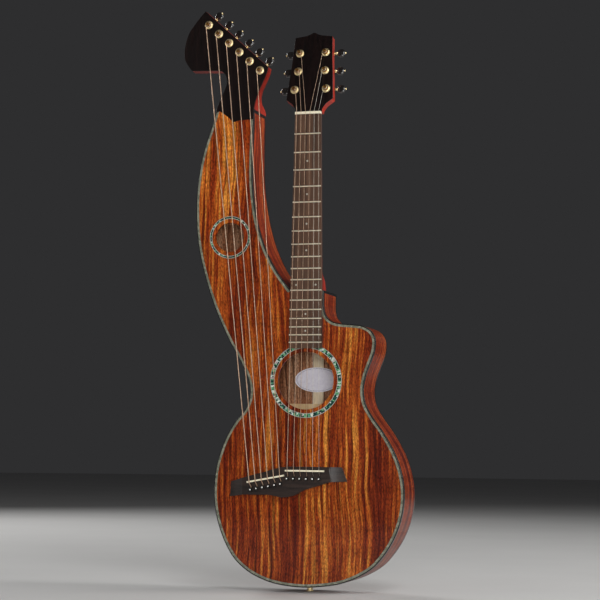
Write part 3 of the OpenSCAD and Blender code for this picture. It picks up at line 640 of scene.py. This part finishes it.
def make_label():
    """A plain oval label with a printed border and nothing written on it."""
    low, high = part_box("label")
    middle, half = (low + high) / 2, (high - low) / 2

    def oval(bm, size, y):
        return [bm.verts.new((
            middle.x + size * half.x * math.cos(2 * math.pi * k / LABEL_STEPS), y,
            middle.z + size * half.z * math.sin(2 * math.pi * k / LABEL_STEPS)))
            for k in range(LABEL_STEPS)]

    def add_wall(bm, a, b):
        for k in range(LABEL_STEPS):
            after = (k + 1) % LABEL_STEPS
            bm.faces.new((a[k], a[after], b[after], b[k]))

    paper, ink = bmesh.new(), bmesh.new()
    front, back = oval(paper, 1.0, low.y), oval(paper, 1.0, high.y)
    add_wall(paper, front, back)
    paper.faces.new(front)
    paper.faces.new(back[::-1])
    for outer, inner in BORDER_LINES:
        y = low.y - BORDER_LIFT
        rings = [oval(ink, size, at) for size, at in (
            (outer, y), (outer, y + BORDER_DEPTH), (inner, y + BORDER_DEPTH), (inner, y))]
        for a, b in zip(rings, rings[1:] + rings[:1]):
            add_wall(ink, a, b)
    add_piece("label_paper", paper, "paper_label", replaces=("label",))
    add_piece("label_border", ink, "label_ink")


make_label()

# ------------------------------------------------------------------ strings

SCALE = 0.632  # open length of the neck strings
NECK_X, NECK_PITCH, NUT_PITCH = 0.0005, 0.0116, 0.0081
NECK_R = [r * MM for r in (0.55, 0.48, 0.4, 0.32, 0.24, 0.2)]
NECK_WOUND = 4  # of the six; the other two are plain steel
HARP_X, HARP_PITCH = -0.098, 0.0112
HARP_R = [r * MM for r in (0.95, 0.9, 0.85, 0.8, 0.75, 0.7)]
# The harp saddle slopes: its z at one x, and its rise over a run.
SLOPE_X, SLOPE_Z, SLOPE_RISE, SLOPE_RUN = -0.103, 0.182, 13, 70
GAP = 0.05 * MM  # between a string and what it rests on
POST_R, POST_JOINT_DEPTH, STRING_DEPTH = 3 * MM, 5 * MM, -6.5 * MM
TURNS, TURN_STEPS = 4, 20  # of string round a post
CORNER_STEPS, CORNER_SHARE, CORNER_MAX = 6, 0.35, 0.006


class Tuner:
    """A tuner's own frame, from its two joints: Y runs down the post's axis from
    the head's face, X along the knob's shaft, Z from the post to the worm."""

    def __init__(self, number):
        post, knob = joints[f"post_{number}_turn"], joints[f"knob_{number}_turn"]
        y = Vector(post["axis"]).normalized()
        x = Vector(knob["axis"]).normalized()
        across = Vector(knob["pos_m"]) - Vector(post["pos_m"])
        z = (across - x * across.dot(x) - y * across.dot(y)).normalized()
        origin = Vector(post["pos_m"]) - y * POST_JOINT_DEPTH
        self.number = number
        self.matrix = Matrix((x, y, z)).transposed().to_4x4()
        self.matrix.translation = origin
        self.worm = across.dot(z)
        self.back = (Vector(knob["pos_m"]) - origin).dot(y) - POST_JOINT_DEPTH

    def at(self, x, y, z):
        return self.matrix @ Vector((x, y, z))


TUNERS = {n: Tuner(n) for n in range(1, 13)}


def rounded_route(points):
    """The same route with each corner turned as a short curve."""
    out = [points[0]]
    for a, b, c in zip(points, points[1:], points[2:]):
        near = min((b - a).length, (c - b).length, CORNER_MAX) * CORNER_SHARE
        start, end = b + (a - b).normalized() * near, b + (c - b).normalized() * near
        for k in range(CORNER_STEPS + 1):
            t = k / CORNER_STEPS
            out.append(start * (1 - t) ** 2 + b * 2 * t * (1 - t) + end * t * t)
    return out + [points[-1]]


def meeting_point(tuner, side, r):
    """Where the middle of a string meets its post, on the given side."""
    return tuner.at(side[0] * (POST_R + r), STRING_DEPTH, side[1] * (POST_R + r))


def add_winding(tuner, side, r, material):
    """Turns of string round a post, starting where the string meets it."""
    coil_r = POST_R * 0.93 + r
    start = math.atan2(side[1], side[0])
    points = []
    for k in range(TURNS * TURN_STEPS + 1):
        turn = 2 * math.pi * k / TURN_STEPS
        points.append(tuner.at(coil_r * math.cos(start + turn),
                               STRING_DEPTH + 2.15 * r * turn / (2 * math.pi),
                               coil_r * math.sin(start + turn)))
    coil = bmesh.new()
    add_tube(coil, points, r, 8)
    add_piece(f"post_winding_{tuner.number}", coil, material, f"post_{tuner.number}")


def add_string(bm, pin, out, bridge_y, rest, r, thicker):
    """A string from its pin through the points in rest. It leaves the pin a
    little to the right, by the two distances in out, and is thicker there."""
    route = [Vector((pin.x + out[0], bridge_y + 1.0 * MM, pin.z + 3.2 * MM)),
             Vector((pin.x + out[1], bridge_y - r, pin.z + 5.6 * MM)), *rest]
    add_tube(bm, rounded_route(route), r)
    add_tube(bm, route[:2], r * thicker)


def neck_side(tuner, nut_point, outward):
    """The side of a post that looks to the middle of the neck head, square to
    the line from the post to the nut; outward is the sign of the post's x."""
    inner = tuner.matrix.inverted() @ nut_point
    aim = math.atan2(inner.z, inner.x)
    side = (math.cos(aim + math.pi / 2), math.sin(aim + math.pi / 2))
    if tuner.at(side[0], 0, side[1]).x * outward > tuner.at(0, 0, 0).x * outward:
        side = (-side[0], -side[1])
    return side


def make_strings():
    """Twelve strings from pin to post, and their turns round the posts."""
    pins = sorted((centre(box) for box in solid_boxes("bridge_pins")), key=lambda c: c.x)
    harp_pins, neck_pins = pins[:6], pins[6:]
    bridge_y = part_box("bridge")[0].y
    saddle_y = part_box("saddles")[0].y
    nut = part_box("nut")
    wound_bm, plain_bm = bmesh.new(), bmesh.new()
    for i, (pin, r) in enumerate(zip(neck_pins, NECK_R)):
        tuner = TUNERS[i + 1]
        x, nut_x = NECK_X + (i - 2.5) * NECK_PITCH, (i - 2.5) * NUT_PITCH
        top, nut_top = saddle_y - r - GAP, nut[0].y - r - GAP
        side = neck_side(tuner, Vector((0, nut_top, nut[1].z)), 1 if i > 2 else -1)
        saddle_z = nut[0].z - SCALE
        rest = [Vector((x, top, saddle_z - 3.4 * MM)), Vector((x, top, saddle_z - 1.8 * MM)),
                Vector((nut_x, nut_top, nut[0].z)), Vector((nut_x, nut_top, nut[1].z)),
                meeting_point(tuner, side, r)]
        bm, material = ((wound_bm, "bronze") if i < NECK_WOUND else (plain_bm, "plain_steel"))
        add_string(bm, pin, (0.6 * MM, 1.0 * MM), bridge_y, rest, r, 1.3)
        add_winding(tuner, side, r, material)
    for i, (pin, r) in enumerate(zip(harp_pins, HARP_R)):
        tuner = TUNERS[i + 7]
        x = HARP_X + i * HARP_PITCH
        z = SLOPE_Z + (x - SLOPE_X) * SLOPE_RISE / SLOPE_RUN
        top = saddle_y - r - GAP
        left = tuner.matrix.to_3x3().inverted() @ Vector((-1, 0, 0))
        side = (left.x, left.z)
        rest = [Vector((x, top, z - 1.4 * MM)), Vector((x, top, z + 1.4 * MM)),
                meeting_point(tuner, side, r)]
        add_string(wound_bm, pin, (0.4 * MM, 0.6 * MM), bridge_y, rest, r, 1.2)
        add_winding(tuner, side, r, "bronze")
    add_piece("wound_strings", wound_bm, "bronze", replaces=("strings",), angle=60)
    add_piece("plain_strings", plain_bm, "plain_steel", angle=60)


make_strings()

# ------------------------------------------------------------------ nut and pins

SLOT_ROOM = 0.12 * MM  # between a string and each side of its slot in the nut


def make_nut():
    """The nut with raised lands between its string slots."""
    low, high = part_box("nut")
    bm = bmesh.new()
    add_block(bm, low, high, Matrix.Identity(4), 0.35 * MM)
    edges = [low.x + 0.5 * MM]
    for i in range(6):
        slot_x = (i - 2.5) * NUT_PITCH
        half = NECK_R[i] + SLOT_ROOM
        edges += [slot_x - half, slot_x + half]
    edges.append(high.x - 0.5 * MM)
    for left, right in zip(edges[::2], edges[1::2]):
        add_block(bm, (left, low.y - 0.45 * MM, low.z + 0.2 * MM),
                  (right, low.y + 0.6 * MM, high.z - 0.9 * MM), Matrix.Identity(4),
                  0.25 * MM)
    add_piece("nut_slotted", bm, "bone", replaces=("nut",))


def make_pins():
    """Black bridge pins, each with a pearl dot let into its head."""
    pins, dots = bmesh.new(), bmesh.new()
    for box in solid_boxes("bridge_pins"):
        middle = centre(box)
        top, foot = box[0].y, box[1].y
        place = Matrix.Translation((middle.x, 0, middle.z))
        add_turned(pins, [(0, foot), (1.9 * MM, foot), (2.4 * MM, foot - 1 * MM),
                          (2.45 * MM, top + 5.4 * MM), (2.9 * MM, top + 5.1 * MM),
                          (3.5 * MM, top + 4.7 * MM), (3.6 * MM, top + 4.0 * MM),
                          (3.5 * MM, top + 3.2 * MM), (3.1 * MM, top + 2.0 * MM),
                          (2.3 * MM, top + 1.0 * MM), (1.5 * MM, top + 0.5 * MM),
                          (1.4 * MM, top + 0.8 * MM), (0, top + 0.8 * MM)], place, 28)
        add_turned(dots, [(1.35 * MM, top + 0.85 * MM), (1.3 * MM, top + 0.35 * MM),
                          (0.8 * MM, top + 0.12 * MM), (0, top + 0.05 * MM)], place, 24)
    add_piece("bridge_pins_turned", pins, "black_trim",
              replaces=("bridge_pins",))
    add_piece("bridge_pin_dots", dots, "pearl")


make_nut()
make_pins()

# ------------------------------------------------------------------ tuners

FIT = 0.06 * MM  # between a post and its sleeve
LUG_Z, LUG_THICK = -9.5 * MM, 2 * MM
CASE_THICK = 10.9 * MM
BUTTON_OUT = 23.4 * MM  # from the post's axis to the middle of the button
BUTTON_R, BUTTON_HALF_THICK = 7.7, 3.7  # in millimetres


def make_collar(bm, tuner):
    """Domed washer and sleeve round a post, on the head's face."""
    add_turned(bm, [(POST_R + FIT, 8.8 * MM), (4.85 * MM, 8.8 * MM), (4.85 * MM, 0),
                    (7.7 * MM, 0), (7.7 * MM, -0.6 * MM), (7.4 * MM, -0.95 * MM),
                    (6.6 * MM, -1.15 * MM), (6.3 * MM, -1.75 * MM), (5.6 * MM, -2.1 * MM),
                    (4.6 * MM, -2.1 * MM), (4.0 * MM, -1.7 * MM), (POST_R + FIT, -1.5 * MM),
                    (POST_R + FIT, 8.8 * MM)], tuner.matrix, 40)


def make_post(tuner):
    """Post with a waist for the string, a cross hole and a hollow in its top, and a black bar of
    painted shade from the middle of the top to its upper edge.
    """
    bm = bmesh.new()
    foot = tuner.back + 1 * MM
    add_turned(bm, [(0, foot), (POST_R, foot), *in_mm(
        (3, -2.6), (2.85, -3.0), (2.72, -4.4), (2.72, -7.4), (2.85, -8.4), (3, -8.8),
        (3, -9.6), (2.75, -9.9), (1.5, -9.9), (1.4, -9.3), (0, -9.1))], tuner.matrix, 32)
    for end in (-1, 1):
        add_turned(bm, [(0.95 * MM, 2.66 * MM * end), (0.95 * MM, 2.86 * MM * end),
                        (0.6 * MM, 2.86 * MM * end), (0.6 * MM, 2.5 * MM * end)],
                   tuner.matrix @ Matrix.Translation((0, STRING_DEPTH, 0))
                   @ Matrix.Rotation(math.pi / 2, 4, "Z"), 16)
    number = tuner.number
    # Painted shade: a black bar over the post's top, from near its middle to the edge that faces
    # up.
    painted_notch = bmesh.new()
    up = tuner.matrix.to_3x3().inverted() @ Vector((0, 0, 1))
    upright = tuner.matrix @ Matrix.Rotation(-math.atan2(up.z, up.x), 4, "Y")
    add_block(painted_notch, (0.2 * MM, -10.0 * MM, -0.55 * MM), (2.9 * MM, -9.0 * MM, 0.55 * MM),
              upright)
    add_piece(f"post_painted_shade_{number}", painted_notch, "black_trim", f"post_{number}")
    add_piece(f"post_turned_{number}", bm, "old_gold", f"post_{number}",
              (f"post_{number}",))


def shaft_place(tuner):
    """The knob's own frame, with Y out along its shaft from the post's axis."""
    place = Matrix.Translation((0, tuner.back + POST_JOINT_DEPTH, tuner.worm))
    return tuner.matrix @ place @ Matrix.Rotation(-math.pi / 2, 4, "Z")


def make_housing(bm, tuner):
    """Cast gear case with a sleeve for the shaft, a lug and two screws."""
    back = tuner.back
    add_block(bm, (-7.5 * MM, back, -7 * MM), (8.5 * MM, back + 10.5 * MM, 11.5 * MM),
              tuner.matrix, 1.6 * MM, 4)
    add_block(bm, (-5.0 * MM, back + 10.2 * MM, -4.6 * MM),
              (6.0 * MM, back + CASE_THICK, 9.0 * MM), tuner.matrix, 0.3 * MM, 2)
    add_turned(bm, in_mm((1.6, 8), (3.4, 8), (3.4, 10.6), (3.0, 11.4), (1.6, 11.4), (1.6, 8)),
               shaft_place(tuner), 28)
    add_block(bm, (-3 * MM, back, LUG_Z), (3 * MM, back + LUG_THICK, -6 * MM), tuner.matrix)
    lug = tuner.matrix @ Matrix.Translation((0, 0, LUG_Z))
    add_turned(bm, [(0, back), (3 * MM, back), (3 * MM, back + 1.7 * MM),
                    (2.7 * MM, back + LUG_THICK), (0, back + LUG_THICK)], lug, 24)
    case = tuner.matrix @ Matrix.Translation((0.5 * MM, 0, 2.2 * MM))
    for place, face in ((lug, back + LUG_THICK), (case, back + CASE_THICK)):
        add_turned(bm, [(0, face), (2.2 * MM, face), (2.1 * MM, face + 0.7 * MM),
                        (1.4 * MM, face + 1.15 * MM), (0.9 * MM, face + 0.75 * MM),
                        (0, face + 0.7 * MM)], place, 24)


def fuller(value, power):
    """Between -1 and 1, a value drawn out towards the ends."""
    return math.copysign(abs(value) ** power, value)


def make_knob(tuner):
    """Shaft, collar and end cap in gold, and a dark oval button."""
    number = tuner.number
    shaft = shaft_place(tuner)
    bm = bmesh.new()
    add_turned(bm, in_mm((0, 11.0), (1.5, 11.0), (1.5, 12.6), (2.2, 12.9), (2.3, 13.8),
                         (1.9, 14.6), (2.5, 15.2), (2.9, 16.2), (2.5, 17.2), (0, 17.6)),
               shaft, 28)
    add_turned(bm, in_mm((0, 29.8), (1.9, 30.4), (2.0, 31.4), (1.8, 32.2), (1.2, 32.6),
                         (0, 32.4)), shaft, 24)
    add_piece(f"knob_shaft_{number}", bm, "gold", f"knob_{number}",
              (f"knob_{number}",))
    bm = bmesh.new()
    bmesh.ops.create_uvsphere(bm, u_segments=32, v_segments=16, radius=1.0)
    for vert in bm.verts:
        co = vert.co
        wider = 0.97 + 0.03 * co.x
        grip = 0.82 + 0.18 * min(1.0, math.hypot(co.x, co.z) * 1.15)
        vert.co = Vector((fuller(co.x, 0.86) * BUTTON_R,
                          fuller(co.y, 0.8) * BUTTON_HALF_THICK * grip,
                          fuller(co.z, 0.86) * BUTTON_R * wider)) * MM
    bm.transform(tuner.matrix @ Matrix.Translation(
        (BUTTON_OUT, tuner.back + POST_JOINT_DEPTH, tuner.worm)))
    add_piece(f"knob_button_{number}", bm, "black_plastic",
              f"knob_{number}")


def make_tuners():
    collars, housings = bmesh.new(), bmesh.new()
    for tuner in TUNERS.values():
        make_collar(collars, tuner)
        make_housing(housings, tuner)
        make_post(tuner)
        make_knob(tuner)
    add_piece("post_collars", collars, "gold", replaces=("tuner_collars",))
    add_piece("gear_cases", housings, "gold", replaces=("tuner_housings",))


make_tuners()
rod_nut = frame["nodes"]["truss_rod_nut"]
rod_nut.data.materials.clear()
rod_nut.data.materials.append(MATERIALS["steel"])

# ------------------------------------------------------------------ stage

FLOOR_DROP, FLOOR_R = 0.0005, 14


def make_stage():
    """A pale floor just under the object, and a dark room."""
    bm = bmesh.new()
    floor_z = cad_box[0].z - FLOOR_DROP
    bmesh.ops.create_circle(bm, cap_ends=True, segments=96, radius=FLOOR_R)
    bmesh.ops.translate(bm, verts=bm.verts, vec=(0, 0, floor_z))
    mesh = bpy.data.meshes.new("floor")
    bm.to_mesh(mesh)
    bm.free()
    floor = bpy.data.objects.new("floor", mesh)
    scene.collection.objects.link(floor)
    s = Shader("floor_paint", Roughness=0.85)
    tones = ((0.3, rgb(206, 205, 203)), (0.7, rgb(212, 211, 209)))
    s.colour(s.ramp(s.noise(s.place(), 2.0, 4.0), tones))
    mesh.materials.append(s.material)
    world = bpy.data.worlds.new("studio")
    world.use_nodes = True
    background = world.node_tree.nodes["Background"]
    background.inputs["Color"].default_value = rgb(46, 46, 47)
    background.inputs["Strength"].default_value = 1.0
    scene.world = world


def add_light(name, place, target, width, height, power):
    """A white soft box that looks at the target, in metres and watts."""
    data = bpy.data.lights.new(name, "AREA")
    data.shape = "RECTANGLE"
    data.size, data.size_y = width, height
    data.energy = power
    light = bpy.data.objects.new(name, data)
    light.location = place
    light.rotation_mode = "QUATERNION"
    light.rotation_quaternion = (Vector(target) - Vector(place)).to_track_quat("-Z", "Y")
    scene.collection.objects.link(light)


make_stage()
add_light("key", (1.0, -1.6, 2.0), (-0.08, 0, 0.75), 0.8, 0.8, 18)
add_light("beside_camera", (0.95, -2.9, 0.42), (0, 0, 0.38), 1.1, 1.3, 51)
add_light("front_left", (-2.3, -2.2, 0.9), (-0.05, 0, 0.3), 0.9, 1.4, 13)
add_light("side_right", (2.4, 0.4, 1.2), (0, 0, 0.5), 0.8, 1.8, 30)
add_light("back_left", (-2.4, 2.3, 2.0), (0, 0, 0.5), 1.2, 1.2, 45)
add_light("back_right", (2.7, 2.1, 1.6), (0, 0, 0.5), 1.2, 1.2, 26)
